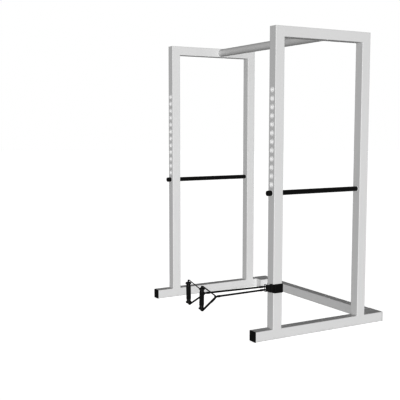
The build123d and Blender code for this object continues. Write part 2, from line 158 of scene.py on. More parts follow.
# ---------------------------------------------------------------- materials
class Finish:
    """A node material: a Principled shader, and short calls that wire procedural nodes into it."""

    def __init__(self, name, **constants):
        self.material = bpy.data.materials.new(name)
        self.material.use_nodes = True
        self.nodes = self.material.node_tree.nodes
        self.links = self.material.node_tree.links
        self.shader = self.nodes["Principled BSDF"]
        coordinates = self.nodes.new("ShaderNodeTexCoord")
        self.place = coordinates.outputs["Object"]
        self.uv = coordinates.outputs["UV"]
        for socket, value in constants.items():
            self.shader.inputs[socket.replace("_", " ")].default_value = value

    def add(self, kind, plugs, **settings):
        """A node with its settings made and its inputs linked or set; gives the node."""
        node = self.nodes.new(kind)
        for key, value in settings.items():
            setattr(node, key, value)
        for key, value in plugs.items():
            if isinstance(value, bpy.types.NodeSocket):
                self.links.new(value, node.inputs[key])
            else:
                node.inputs[key].default_value = value
        return node

    def maths(self, operation, a, b=0.0):
        """The result of one arithmetic node."""
        return self.add("ShaderNodeMath", {0: a, 1: b}, operation=operation).outputs[0]

    def stretched(self, factors, source=None):
        """Coordinates multiplied axis by axis."""
        scaled = self.add("ShaderNodeVectorMath", {0: source or self.place, 1: factors},
                          operation="MULTIPLY")
        return scaled.outputs[0]

    def part(self, axis, source=None):
        """One component of the coordinates."""
        split = self.add("ShaderNodeSeparateXYZ", {0: source or self.place})
        return split.outputs["XYZ".index(axis)]

    def grain(self, scale, detail=2.0, stretch=None, source=None):
        """Noise from 0 to 1, with a middle of about a half."""
        vector = self.stretched(stretch, source) if stretch else (source or self.place)
        cloud = self.add("ShaderNodeTexNoise",
                         {"Vector": vector, "Scale": scale, "Detail": detail})
        return cloud.outputs["Fac"]

    def span(self, value, low, high, out_low=0.0, out_high=1.0):
        """The value's range from low to high, mapped smoothly onto another and held at its ends."""
        mapped = self.add("ShaderNodeMapRange",
                          {"Value": value, "From Min": low, "From Max": high,
                           "To Min": out_low, "To Max": out_high},
                          interpolation_type="SMOOTHSTEP")
        return mapped.outputs[0]

    def blend(self, share, first, second):
        """Two colours mixed; each is a socket or a grey level or an RGB triple."""
        mixed = self.add("ShaderNodeMix", {0: share, 6: colour(first), 7: colour(second)},
                         data_type="RGBA")
        return mixed.outputs[2]

    def relief(self, height, depth, under=None):
        """Bump of a real depth in metres."""
        plugs = {"Height": height, "Distance": depth, "Strength": 1.0}
        if under is not None:
            plugs["Normal"] = under
        return self.add("ShaderNodeBump", plugs).outputs[0]

    def finish(self, tone=None, roughness=None, normal=None):
        """Link what is given to the shader, and give the material."""
        for socket, value in (("Base Color", tone), ("Roughness", roughness), ("Normal", normal)):
            if value is not None:
                self.links.new(value, self.shader.inputs[socket])
        return self.material


def colour(value):
    """What a colour socket takes, from a socket, a grey level or an RGB triple."""
    if isinstance(value, bpy.types.NodeSocket):
        return value
    if isinstance(value, (int, float)):
        return (value, value, value, 1.0)
    return (*value, 1.0)


def powder_coat(name, shade, bored=False, gripped=False):
    """Satin powder coat on steel tube: orange peel, faint clouding, floor grime and rub marks."""
    paint = Finish(name, Specular_IOR_Level=0.35)
    clouding = paint.grain(2.3, 3)
    speckle = paint.grain(900, 1)
    tone = paint.blend(clouding, shade * 0.975, shade * 1.025)
    tone = paint.blend(paint.span(speckle, 0.62, 0.8, 0, 0.25), tone, shade * 0.8)
    height = paint.part("Z")
    grime = paint.maths("MULTIPLY", paint.span(height, 0.0, 0.03, 1, 0),
                        paint.span(paint.grain(40, 4), 0.42, 0.75, 0, 0.22))
    tone = paint.blend(grime, tone, (0.24, 0.23, 0.21))
    marks = paint.span(paint.grain(19, 5, (1, 1, 7)), 0.72, 0.80, 0, 0.12)
    tone = paint.blend(marks, tone, 0.33)
    roughness = paint.span(paint.grain(14, 3), 0.3, 0.7, 0.40, 0.52)
    if bored:
        rim = rub_rings(paint)
        tone = paint.blend(rim, tone, 0.40)
    if gripped:
        reach = paint.maths("ABSOLUTE", paint.part("X"))
        hands = paint.maths("MULTIPLY", paint.span(reach, 0.16, 0.26),
                            paint.span(reach, 0.46, 0.62, 1, 0))
        rubbed = paint.maths("MULTIPLY", hands,
                             paint.span(paint.grain(60, 4, (1, 3, 3)), 0.4, 0.62))
        tone = paint.blend(paint.maths("MULTIPLY", rubbed, 0.22), tone, (0.42, 0.41, 0.40))
    peel = paint.relief(paint.grain(520, 2), 0.035 * MM)
    return paint.finish(tone, roughness, peel)


def rub_rings(paint):
    """Mask of the scuffed rings that pegs leave round a row of holes."""
    low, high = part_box("hole_liners_right")
    radius = (high.x - low.x) / 2
    pitch = hole_pitch()
    nearest = paint.maths("PINGPONG", paint.maths("SUBTRACT", paint.part("Z"), low.z + radius),
                          pitch / 2)
    sideways = paint.maths("SUBTRACT", paint.maths("ABSOLUTE", paint.part("X")),
                           (low.x + high.x) / 2)
    away = paint.maths("SQRT", paint.maths("ADD", paint.maths("POWER", nearest, 2.0),
                                           paint.maths("POWER", sideways, 2.0)))
    ring = paint.maths("MULTIPLY", paint.span(away, radius * 0.9, radius * 1.05),
                       paint.span(away, radius * 1.1, radius * 1.45, 1, 0))
    above = paint.span(paint.part("Z"), low.z - 0.02, low.z - 0.01)
    below = paint.span(paint.part("Z"), high.z + 0.01, high.z + 0.02, 1, 0)
    worn = paint.span(paint.grain(170, 4), 0.5, 0.68, 0, 0.55)
    return paint.maths("MULTIPLY", paint.maths("MULTIPLY", ring, worn),
                       paint.maths("MULTIPLY", above, below))


def hole_pitch():
    """Distance between the axes of neighbouring holes, from the record's bolt pattern."""
    pattern = next(m for m in frame["record"]["mounts"] if m["kind"] == "bolt_pattern")
    return pattern["dims"]["spacing_y_mm"] * MM


def moulded(name, shade, roughness, grain_size=0.5, dust=0.04, change=0.2, **constants):
    """Moulded plastic or rubber: fine leathery grain, patchy gloss, and dust on what faces up."""
    skin = Finish(name, Specular_IOR_Level=0.25, **constants)
    facing = skin.part("Z", skin.add("ShaderNodeNewGeometry", {}).outputs["Normal"])
    settled = skin.maths("MULTIPLY", skin.span(facing, 0.2, 0.95),
                         skin.span(skin.grain(90, 4), 0.4, 0.7))
    tone = skin.blend(skin.grain(45, 3), shade * (1 - change), shade * (1 + change))
    tone = skin.blend(skin.maths("MULTIPLY", settled, dust), tone, (0.5, 0.48, 0.45))
    cells = skin.add("ShaderNodeTexVoronoi", {"Vector": skin.place, "Scale": 1 / (grain_size * MM)},
                     feature="SMOOTH_F1")
    texture = skin.relief(cells.outputs["Distance"], 0.05 * MM)
    gloss = skin.span(skin.grain(30, 3), 0.3, 0.7, roughness - 0.07, roughness + 0.07)
    return skin.finish(tone, gloss, texture)


def liner(name, flange, bore):
    """Pale nylon hole liner: lighter on its flange; its bore is painted darker as painted shade, with scuffs in
    it.
    """
    nylon = Finish(name, Specular_IOR_Level=0.2)
    normal = nylon.add("ShaderNodeNewGeometry", {}).outputs["Normal"]
    front = nylon.maths("ABSOLUTE", nylon.part("Y", normal))
    scuffs = nylon.span(nylon.grain(130, 4, (1, 0.3, 1)), 0.5, 0.75, 0, 0.25)
    inside = nylon.blend(scuffs, bore, bore * 0.72)
    # painted shade: faces that turn away from the hole's axis, the bore's wall, take the darker bore tone; the
    # scuffs are wear
    tone = nylon.blend(nylon.span(front, 0.55, 0.85), inside, flange)
    texture = nylon.relief(nylon.grain(900, 2), 0.02 * MM)
    return nylon.finish(tone, nylon.span(nylon.grain(60, 3), 0.3, 0.7, 0.42, 0.56), texture)


def coated_bar(name):
    """Semi-gloss black powder coat with faint scratches along the bar, where it slides."""
    coat = Finish(name, Specular_IOR_Level=0.3)
    scratches = coat.span(coat.grain(150, 4, (9, 0.35, 9)), 0.60, 0.72)
    tone = coat.blend(coat.maths("MULTIPLY", scratches, 0.35), 0.006, 0.06)
    roughness = coat.span(coat.grain(20, 3), 0.3, 0.7, 0.34, 0.46)
    peel = coat.relief(coat.grain(700, 2), 0.02 * MM, coat.relief(scratches, -0.01 * MM))
    return coat.finish(tone, roughness, peel)


def metal(name, shade, roughness, tint=(1.0, 1.0, 1.0), metallic=1.0):
    """Bare or plated metal with fine drawing marks and a patchy polish."""
    plate = Finish(name, Metallic=metallic)
    bright = tuple(shade * c for c in tint)
    dull = tuple(shade * 0.72 * c for c in tint)
    tone = plate.blend(plate.span(plate.grain(120, 4), 0.3, 0.7), dull, bright)
    gloss = plate.span(plate.grain(400, 3), 0.3, 0.7, roughness - 0.08, roughness + 0.1)
    lines = plate.relief(plate.grain(1500, 2), 0.008 * MM)
    return plate.finish(tone, gloss, lines)


def webbing(name, yarn=1.5):
    """Black woven webbing: offset rows of yarn floats along the strap's own length and width, with painted shade
    between them.
    """
    cloth = Finish(name, Specular_IOR_Level=0.12, Sheen_Weight=0.08, Sheen_Roughness=0.5)
    across = cloth.part("X", cloth.uv)
    along = cloth.part("Y", cloth.uv)
    column = cloth.maths("MULTIPLY", across, 1 / (yarn * MM))
    stagger = cloth.maths("MULTIPLY", cloth.maths("FLOOR", column), 0.5)
    row = cloth.maths("ADD", cloth.maths("MULTIPLY", along, 1 / (2.2 * MM)), stagger)
    ribs = cloth.maths("ABSOLUTE", cloth.maths("SINE", cloth.maths("MULTIPLY", column, math.pi)))
    floats = cloth.maths("ABSOLUTE", cloth.maths("SINE", cloth.maths("MULTIPLY", row, math.pi)))
    weave = cloth.maths("MULTIPLY", cloth.maths("POWER", ribs, 0.6),
                        cloth.maths("POWER", floats, 0.4))
    fuzz = cloth.grain(2600, 3)
    height = cloth.maths("ADD", weave, cloth.maths("MULTIPLY", fuzz, 0.25))
    # painted shade: the low places between yarn floats are darker than the floats' tops
    tone = cloth.blend(cloth.span(weave, 0.1, 0.9), 0.002, 0.009)
    tone = cloth.blend(cloth.span(cloth.grain(60, 3), 0.45, 0.8, 0, 0.35), tone, 0.016)
    return cloth.finish(tone, cloth.span(fuzz, 0.3, 0.7, 0.75, 0.95),
                        cloth.relief(height, 0.28 * MM))


def foam(name):
    """Closed-cell grip foam: fine pores of two sizes, painted darker as painted shade, and hand-polished patches.
    """
    rubber = Finish(name, Specular_IOR_Level=0.15, Sheen_Weight=0.05, Sheen_Roughness=0.6)
    pores = rubber.add("ShaderNodeTexVoronoi", {"Vector": rubber.place, "Scale": 1100.0},
                       feature="F1")
    pits = rubber.span(pores.outputs["Distance"], 0.12, 0.5)
    large = rubber.span(rubber.grain(420, 3), 0.38, 0.55)
    # painted shade: the pores and the lower places of the larger cells are darker
    tone = rubber.blend(rubber.maths("MULTIPLY", pits, large), 0.003, 0.012)
    polish = rubber.span(rubber.grain(25, 2), 0.35, 0.65, 0.72, 0.92)
    depth = rubber.relief(large, 0.12 * MM, rubber.relief(pits, 0.10 * MM))
    return rubber.finish(tone, polish, depth)


def latex(name):
    """Smooth black latex with a soft sheen and a faint chalky bloom along its length."""
    tube = Finish(name, Specular_IOR_Level=0.25)
    bloom = tube.span(tube.grain(70, 4, (3, 0.6, 3)), 0.5, 0.75, 0, 0.35)
    tone = tube.blend(bloom, 0.003, 0.014)
    gloss = tube.span(tube.grain(90, 3), 0.3, 0.7, 0.38, 0.55)
    return tube.finish(tone, gloss, tube.relief(tube.grain(800, 2), 0.02 * MM))


make_camera()
make_lights()
make_stage()

FRAME_SHADE = 0.62
finishes = {
    "frame_paint": powder_coat("frame_paint", FRAME_SHADE),
    "bored_paint": powder_coat("bored_paint", FRAME_SHADE, bored=True),
    "bar_paint": powder_coat("bar_paint", FRAME_SHADE * 0.97, gripped=True),
    "cap_plastic": moulded("cap_plastic", 0.006, 0.50),
    # the bore's 0.60 under the flange's 0.84 is painted shade inside the hole
    "liner_plastic": liner("liner_plastic", 0.84, 0.60),
    "zinc_steel": metal("zinc_steel", 0.62, 0.32, (1.0, 0.985, 0.95)),
    "webbing": webbing("webbing"),
    "thread": moulded("thread", 0.03, 0.7, 0.3, dust=0.0),
    "black_steel": metal("black_steel", 0.02, 0.38, metallic=0.2),
    "bar_black": coated_bar("bar_black"),
    "knob_rubber": moulded("knob_rubber", 0.007, 0.66),
    "sleeve_rubber": moulded("sleeve_rubber", 0.006, 0.48, 0.35),
    "tube_latex": latex("tube_latex"),
    "grip_foam": foam("grip_foam"),
}

# ---------------------------------------------------------------- CAD parts that keep their shape
for subpart in frame["record"]["subparts"]:
    node = subpart["node"]
    finish_name = "bored_paint" if node.startswith("front_upright") else subpart["material_slot"]
    for material_slot in frame["nodes"][node].material_slots:
        material_slot.material = finishes[finish_name]


# ---------------------------------------------------------------- mesh tools
def smooth_step(value):
    """The value held between 0 and 1, eased at both ends."""
    held = min(1.0, max(0.0, value))
    return held * held * (3 - 2 * held)


def make_piece(name, built, finish_name, body, replaces=()):
    """A finished piece that rides on a body, and stands for the CAD nodes it replaces."""
    piece = plain_object(name, built, finishes[finish_name])
    if replaces:
        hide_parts(*replaces)
    if body:
        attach(piece, body)
    return piece


def skin(built, rings, loop=False, caps=True):
    """Quads over rings of points, each ring closed. With loop, the last ring meets the first."""
    layer = built.loops.layers.uv.verify()
    rows = [[built.verts.new(point) for point in ring] for ring in rings]
    count = len(rings[0])
    round_lengths = running([rings[0][k % count] for k in range(count + 1)])
    lengths = running([sum(ring, Vector()) / count for ring in rings + rings[:1]])
    for i in range(len(rows) - (0 if loop else 1)):
        here, there = rows[i], rows[(i + 1) % len(rows)]
        for k in range(count):
            after = (k + 1) % count
            face = built.faces.new((here[k], here[after], there[after], there[k]))
            corners = ((k, i), (k + 1, i), (k + 1, i + 1), (k, i + 1))
            for corner, (step, row) in zip(face.loops, corners):
                corner[layer].uv = (round_lengths[step], lengths[row])
    if caps and not loop:
        built.faces.new(list(reversed(rows[0])))
        built.faces.new(rows[-1])


def running(points):
    """Distances run from the first point to each point."""
    lengths = [0.0]
    for before, after in zip(points, points[1:]):
        lengths.append(lengths[-1] + (after - before).length)
    return lengths


def lathe(built, origin, axis, profile, segments=48, dent=None):
    """A turned shell. The profile is (place along the axis, radius) pairs from pole to pole, or a
    closed loop when its ends are equal. dent(angle, place) is taken off the radius."""
    axis = Vector(axis).normalized()
    side = axis.orthogonal().normalized()
    other = axis.cross(side)
    closed = profile[0] == profile[-1]
    rows = []
    for place, radius in profile[:-1] if closed else profile:
        if radius == 0:
            rows.append([built.verts.new(origin + axis * place)])
            continue
        row = []
        for k in range(segments):
            angle = math.tau * k / segments
            out = radius - (dent(angle, place) if dent else 0)
            row.append(built.verts.new(origin + axis * place
                                       + (side * math.cos(angle) + other * math.sin(angle)) * out))
        rows.append(row)
    pairs = list(zip(rows, rows[1:]))
    if closed:
        pairs.append((rows[-1], rows[0]))
    for here, there in pairs:
        for k in range(segments):
            after = (k + 1) % segments
            if len(here) == 1:
                built.faces.new((here[0], there[after], there[k]))
            elif len(there) == 1:
                built.faces.new((here[k], here[after], there[0]))
            else:
                built.faces.new((here[k], here[after], there[after], there[k]))


def arc(centre, radius, start_deg, end_deg, steps):
    """Points on a circle in the plane, as (a, b) pairs."""
    angles = [math.radians(start_deg + (end_deg - start_deg) * k / steps) for k in range(steps + 1)]
    return [(centre[0] + radius * math.cos(a), centre[1] + radius * math.sin(a)) for a in angles]


def refined(profile, step):
    """The profile again, with points at most a step apart."""
    points = [profile[0]]
    for a, b in zip(profile, profile[1:]):
        parts = max(1, math.ceil(math.dist(a, b) / step))
        points += [(a[0] + (b[0] - a[0]) * k / parts, a[1] + (b[1] - a[1]) * k / parts)
                   for k in range(1, parts + 1)]
    return points


def ribbon(built, points, widths, across, thickness, loop=False):
    """Flat webbing with rounded edges: its middle follows points, its width lies along across."""
    half = thickness / 2
    count = len(points)
    steps = 8
    edge = [math.radians(turned) for turned in (35, 90, 145)]
    rings = []
    for i, (point, width) in enumerate(zip(points, widths)):
        before = points[i - 1] if loop or i else points[0]
        after = points[(i + 1) % count] if loop or i < count - 1 else points[-1]
        heading = (after - before).normalized()
        normal = heading.cross(across).normalized()
        flat = width / 2 - half
        ring = []
        for face in (1, -1):
            ring += [point + across * (face * flat * (2 * k / steps - 1)) + normal * (face * half)
                     for k in range(steps + 1)]
            ring += [point + across * (face * (flat + half * math.sin(a)))
                     + normal * (face * half * math.cos(a)) for a in edge]
        rings.append(ring)
    skin(built, rings, loop)


def stitches(built, start, end, lift, pitch=3.2 * MM, thread=0.45 * MM):
    """A row of sewn stitches from start to end, each a small bead that dips at its ends."""
    run = end - start
    count = max(1, round(run.length / pitch))
    heading = run.normalized()
    side = heading.cross(lift).normalized()
    for i in range(count):
        middle = start + run * ((i + 0.5) / count)
        rings = []
        for share, fat in ((-0.42, 0.25), (-0.3, 0.8), (0, 1.0), (0.3, 0.8), (0.42, 0.25)):
            centre = middle + heading * (share * run.length / count)
            centre += lift * (thread * 0.5 * (fat - 0.4))
            rings.append([centre + (side * math.cos(a) + lift * math.sin(a) * 0.8) * thread * fat
                          for a in (math.tau * k / 6 for k in range(6))])
        skin(built, rings)


def fused(name, built, voxel):
    """Overlapping closed shells made into one smooth moulding; gives it back as a bmesh."""
    rough = plain_object(name, built, finishes["sleeve_rubber"])
    remesh = rough.modifiers.new("fuse", "REMESH")
    remesh.mode = "VOXEL"
    remesh.voxel_size = voxel
    smooth = rough.modifiers.new("smooth", "SMOOTH")
    smooth.factor = 0.5
    smooth.iterations = 4
    evaluated = rough.evaluated_get(bpy.context.evaluated_depsgraph_get())
    result = bmesh.new()
    result.from_mesh(evaluated.to_mesh())
    evaluated.to_mesh_clear()
    bpy.data.objects.remove(rough)
    return result


# ---------------------------------------------------------------- welds
def bead(built, start, end, out, radius, ripple=2.4 * MM, depth=0.12):
    """A weld bead along a joint: a rod with the overlapping scales of a hand-made weld."""
    run = end - start
    heading = run.normalized()
    side = heading.cross(out).normalized()
    steps = max(4, round(run.length / ripple) * 4)
    rings = []
    for i in range(steps + 1):
        share = i / steps
        phase = (share * run.length / ripple) % 1.0
        ends = min(1.0, min(share, 1 - share) * run.length / (1.5 * radius))
        fat = radius * (1 - depth * phase) * (0.35 + 0.65 * math.sqrt(ends))
        rings.append([start + run * share + heading * (0.35 * radius * max(0.0, math.cos(a)) * ends)
                      + (out * math.cos(a) + side * math.sin(a)) * fat
                      for a in (math.tau * k / 12 for k in range(12))])
    skin(built, rings)


def make_welds():
    """Fillets at the uprights' feet and under the top rails, and fills between flush tubes."""
    inset = 6 * MM
    foot = 3.6 * MM
    for side, sign in SIDES.items():
        built = bmesh.new()
        rail_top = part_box(f"base_rail_{side}")[1].z
        for post in ("front_upright", "rear_upright"):
            low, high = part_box(f"{post}_{side}")
            under_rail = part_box(f"top_rail_{side}")[1].z - (high.x - low.x)
            for y, way in ((low.y, -1), (high.y, 1)):
                bead(built, Vector((low.x + inset, y, rail_top)),
                     Vector((high.x - inset, y, rail_top)), Vector((0, way, 1)).normalized(), foot)
            inner, way = (high.y, 1) if post == "front_upright" else (low.y, -1)
            bead(built, Vector((low.x + inset, inner, under_rail)),
                 Vector((high.x - inset, inner, under_rail)), Vector((0, way, -1)).normalized(),
                 3.4 * MM)
            for x, way in ((low.x, -1), (high.x, 1)):
                flush = x - way * 3.05 * MM
                bead(built, Vector((flush, low.y + 1 * MM, rail_top - 1.2 * MM)),
                     Vector((flush, high.y - 1 * MM, rail_top - 1.2 * MM)), X * way, 3.0 * MM,
                     depth=0.02)
        block_low, block_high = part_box(f"corner_block_{side}")
        seam_x = block_high.x if sign > 0 else block_low.x
        plate_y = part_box(f"corner_plate_{side}")[0].y
        bead(built, Vector((seam_x, plate_y + 2 * MM, rail_top - 2.6 * MM)),
             Vector((seam_x, block_high.y, rail_top - 2.6 * MM)), Z, 3.0 * MM)
        bead(built, Vector((seam_x, plate_y, 4 * MM)), Vector((seam_x, plate_y, rail_top - 4 * MM)),
             Vector((-sign, -1, 0)).normalized(), foot)
        make_piece(f"welds_{side}", built, "frame_paint", "frame")


make_welds()


# ---------------------------------------------------------------- safety bar knobs
def make_knob(side):
    """Rubber knob on a safety bar's front end, fluted round its middle for grip."""
    low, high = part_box(f"safety_knob_{side}")
    length, radius = high.y - low.y, (high.x - low.x) / 2
    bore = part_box(f"safety_bar_{side}")
    bore_radius = (bore[1].x - bore[0].x) / 2
    nose = 4 * MM
    profile = [(0, 0), (0, radius - nose)]
    profile += [(nose - b, radius - nose + a) for a, b in arc((0, 0), nose, 90, 0, 8)][1:]
    profile += [(length - 0.6 * MM, radius), (length, radius - 0.6 * MM), (length, bore_radius),
                (bore[0].y - low.y, bore_radius), (bore[0].y - low.y, 0)]

    def flute(angle, place):
        fade = smooth_step((place - 7 * MM) / (2 * MM))
        fade *= smooth_step((length - 4 * MM - place) / (2 * MM))
        return fade * 0.55 * MM * (0.5 + 0.5 * math.cos(24 * angle)) ** 2

    built = bmesh.new()
    origin = Vector(((low.x + high.x) / 2, low.y, (low.z + high.z) / 2))
    outer = refined(profile[:-3], 1.5 * MM)
    lathe(built, origin, Y, outer + profile[-3:], 192, flute)
    make_piece(f"knob_{side}", built, "knob_rubber", f"safety_bar_{side}",
               replaces=[f"safety_knob_{side}"])


for side in SIDES:
    make_knob(side)


# ---------------------------------------------------------------- anchor strap
def make_anchor():
    """Webbing strap, twice round the right front upright, and the tab that holds the ring."""
    post_low, post_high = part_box("front_upright_right")
    strap_low, strap_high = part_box("anchor_strap")
    centre = (post_low + post_high) / 2
    thick = post_low.y - strap_low.y - 0.2 * MM
    half = (strap_high.x - strap_low.x - thick) / 2
    bend, step = 5.5 * MM, 4 * MM

    def uneven(a, b, which, size):
        return size * noise.noise(Vector((a, b, which)) * 45)

    points, widths = [], []
    for a, b in rounded_outline([(-half, -half), (half, -half), (half, half), (-half, half)],
                                bend, step):
        towards_ring = smooth_step((12 * MM - a) / (34 * MM))
        towards_ring *= smooth_step((8 * MM - b - half) / (8 * MM))
        high_edge = strap_high.z - 14 * MM * towards_ring + uneven(a, b, 0, 0.5 * MM)
        low_edge = strap_low.z - 0.5 * MM * towards_ring + uneven(a, b, 3, 0.5 * MM)
        puff = Vector((a, b, 0)).normalized() * max(0.0, uneven(a, b, 7, 0.3 * MM))
        points.append(Vector((centre.x + a, centre.y + b, (high_edge + low_edge) / 2)) + puff)
        widths.append(high_edge - low_edge)
    built = bmesh.new()
    ribbon(built, points, widths, Z, thick, loop=True)
    make_piece("strap_band", built, "webbing", "frame", replaces=["anchor_strap"])

    sewn = bmesh.new()
    sew_edges(sewn, points + points[:1], widths + widths[:1], thick)
    make_second_turn(sewn, centre)
    make_tab(sewn, centre, half + thick / 2)
    make_piece("strap_stitching", sewn, "thread", "frame")


def sew_edges(sewn, points, widths, thick):
    """Two rows of stitches along a band, near its edges, on its outer face."""
    for i in range(0, len(points) - 2, 2):
        here, there = points[i], points[i + 2]
        flat = Vector((there.x - here.x, there.y - here.y, 0))
        lift = flat.cross(Z).normalized()
        for edge in (-1, 1):
            low, high = (Z * edge * (widths[k] / 2 - 4 * MM) + lift * thick / 2
                         for k in (i, i + 2))
            stitches(sewn, here + low, there + high, lift)


def make_second_turn(sewn, centre):
    """Outer turn of the strap: from the outer side round the rear, to its end on the inner side."""
    low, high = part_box("anchor_tail")
    thick = 2.8 * MM
    half = (high.x - low.x - thick) / 2
    start = low.y - centre.y
    square = [(half, -half), (half, half), (-half, half), (-half, -half)]
    path = [(a, b) for a, b in rounded_outline(square, 7.5 * MM, 4 * MM) if b > start + 1 * MM]
    path = [(half, start)] + path + [(-half, start)]
    run = running([Vector((a, b)) for a, b in path])
    points, widths = [], []
    for (a, b), length in zip(path, run):
        from_end = run[-1] - length
        tip = min(1.0, from_end / (12 * MM))
        width = (high.z - low.z) * (0.7 + 0.3 * math.sqrt(max(0.0, 1 - (1 - tip) ** 2)))
        slack = 1.2 * MM * math.sin(math.pi * min(1.0, length / run[-1])) ** 2
        slack += 1.4 * MM * smooth_step((from_end - 6 * MM) / (-12 * MM) + 0.5)
        out = Vector((a, b, 0)).normalized()
        points.append(Vector((centre.x + a, centre.y + b, (low.z + high.z) / 2)) + out * slack)
        widths.append(width + 0.8 * MM * noise.noise(Vector((a, b, 11)) * 45))
    built = bmesh.new()
    ribbon(built, points, widths, Z, thick)
    make_piece("strap_second_turn", built, "webbing", "frame", replaces=["anchor_tail"])
    sew_edges(sewn, points[:-4], widths[:-4], thick)
    for k in (1, 2):
        foot = points[k] - Z * (widths[k] / 2 - 4 * MM) + X * thick / 2
        stitches(sewn, foot, foot + Z * (widths[k] - 8 * MM), X)


def make_tab(sewn, centre, face):
    """Narrow webbing sewn to the strap's front, folded round the ring's leg."""
    fold_low, fold_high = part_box("anchor_fold")
    layer = 2.2 * MM
    leg = Vector(((fold_low.x + fold_high.x) / 2, (fold_low.y + fold_high.y) / 2))
    under = centre.y - face - layer / 2 - 0.15 * MM
    over = under - layer - 0.1 * MM
    tab_end = centre.x + 12 * MM
    path = [(tab_end - 3 * MM - k * 4 * MM, under) for k in range(10)]
    path += [(leg.x + a, leg.y + b) for a, b in arc((0, 0), 3.4 * MM, 75, 285, 14)]
    path += [(leg.x + 6 * MM + k * 4 * MM, over - 1.6 * MM * (1 - smooth_step(k / 4)))
             for k in range(int((tab_end - leg.x - 6 * MM) / (4 * MM)) + 1)]
    points, widths = [], []
    narrow = fold_high.z - fold_low.z
    for x, y in path:
        share = smooth_step((x - leg.x - 4 * MM) / (30 * MM))
        points.append(Vector((x, y, (fold_low.z + fold_high.z) / 2 + 2.5 * MM * share)))
        widths.append(narrow + 3 * MM * share)
    built = bmesh.new()
    ribbon(built, points, widths, Z, layer)
    make_piece("ring_tab", built, "webbing", "frame", replaces=["anchor_fold"])

    front = over - layer / 2
    left, right = leg.x + 14 * MM, tab_end - 4 * MM
    low, high = fold_low.z + 4 * MM, fold_high.z - 3 * MM
    box = [Vector((left, front, low)), Vector((right, front, low)),
           Vector((right, front, high)), Vector((left, front, high))]
    for a, b in ((0, 1), (1, 2), (2, 3), (3, 0), (0, 2), (1, 3)):
        stitches(sewn, box[a], box[b], -Y)
    for shift in (0, 1.4 * MM, 2.8 * MM):
        foot = Vector((leg.x + 9 * MM + shift, front - 0.3 * MM, low))
        stitches(sewn, foot, foot + Z * (high - low), -Y, pitch=2.2 * MM)


def rounded_outline(corners, radius, step):
    """A closed outline with rounded corners, counter-clockwise, with points about a step apart."""
    points = []
    count = len(corners)
    for i, corner in enumerate(corners):
        before = Vector(corners[i - 1]) - Vector(corner)
        after = Vector(corners[(i + 1) % count]) - Vector(corner)
        half_angle = before.angle(after) / 2
        cut = radius / math.tan(half_angle)
        start = Vector(corner) + before.normalized() * cut
        end = Vector(corner) + after.normalized() * cut
        centre = Vector(corner) + (before.normalized() + after.normalized()).normalized() \
            * (radius / math.sin(half_angle))
        if points:
            points += between(points[-1], start, step)
        sweep = (start - centre).angle_signed(end - centre)
        turns = 8
        for k in range(turns + 1):
            spoke = start - centre
            angle = -sweep * k / turns
            points.append(centre + Vector((spoke.x * math.cos(angle) - spoke.y * math.sin(angle),
                                           spoke.x * math.sin(angle) + spoke.y * math.cos(angle))))
    points += between(points[-1], points[0], step)
    return [(p.x, p.y) for p in points]


def between(a, b, step):
    """Points strictly between two points, about a step apart."""
    parts = max(1, round((b - a).length / step))
    return [a + (b - a) * (k / parts) for k in range(1, parts)]


make_anchor()


# ---------------------------------------------------------------- resistance tubes and handles
TUBE_DIAMETER = 12 * MM
EYE_SEAT = 18 * MM          # from the eye's middle to the tube's end inside its sleeve
SLEEVE_SEAT = 20 * MM       # from the strap's corner to the tube's other end
GRIP_OFFSET = 115           # mm, from the strap's corner to the grip's axis
GRIP_LIFT = {"left": 16.5, "right": 0.0}    # mm, from the tube's line up to the grip's middle
# the strap's corners in mm, as (along the tube, up the grip) from the point where its legs meet
STRAP_CORNERS = {"left": [(-8.4, -0.9), (GRIP_OFFSET, -69.5), (GRIP_OFFSET, 108.5)],
                 "right": [(-8.4, 0.0), (GRIP_OFFSET, -88), (GRIP_OFFSET, 88)]}


class RowLine:
    """Where one tube and its handle are: the eye's place on the ring, and the handle's axes."""

    def __init__(self, side):
        self.side = side
        self.eye = Vector(joints[f"tube_{side}_swing"]["pos_m"])
        self.along = Vector(joints[f"handle_{side}_pull"]["axis"]).normalized()
        self.grip = Vector(joints[f"grip_{side}_spin"]["pos_m"])
        self.up = Vector(joints[f"grip_{side}_spin"]["axis"]).normalized()
        self.across = self.along.cross(self.up)
        self.apex = self.grip - self.along * GRIP_OFFSET * MM - self.up * GRIP_LIFT[side] * MM


def make_eye(line):
    """Moulded anchor-end sleeve: an eye on the ring's leg, a neck, and a ribbed ferrule."""
    built = bmesh.new()
    rim = refined([(-6.4 * MM, 2.5 * MM), (-6.4 * MM, 6.2 * MM), (-5.6 * MM, 7.1 * MM),
                   (5.6 * MM, 7.1 * MM), (6.4 * MM, 6.2 * MM), (6.4 * MM, 2.5 * MM),
                   (-6.4 * MM, 2.5 * MM)], 1.0 * MM)
    lathe(built, line.eye, Z, rim, 40)
    lathe(built, line.eye, line.along, [(5 * MM, 0), (5 * MM, 5.4 * MM), (9 * MM, 5.4 * MM),
                                        (15 * MM, 6.4 * MM), (15 * MM, 0)], 40)
    lathe(built, line.eye, line.along, ferrule(12 * MM, 40 * MM, EYE_SEAT), 48)
    moulding = fused(f"eye_{line.side}", built, 0.45 * MM)
    make_piece(f"eye_{line.side}", moulding, "sleeve_rubber", f"tube_{line.side}",
               replaces=[f"tube_eye_{line.side}"])


def ferrule(start, mouth, seat):
    """Profile of a ribbed sleeve from its closed end to its mouth, with the tube's seat inside."""
    profile = [(start, 0), (start, 5.0 * MM), (start + 2 * MM, 7.0 * MM)]
    ribs = 5
    pitch = (mouth - start - 5 * MM) / ribs
    for k in range(ribs):
        base = start + 3 * MM + k * pitch
        profile += [(base, 7.7 * MM), (base + pitch * 0.5, 7.7 * MM),
                    (base + pitch * 0.62, 7.0 * MM), (base + pitch * 0.88, 7.0 * MM)]
    profile += [(mouth - 1.2 * MM, 7.7 * MM), (mouth, 7.2 * MM), (mouth, 6.3 * MM),
                (seat, 6.3 * MM), (seat, 0)]
    return profile


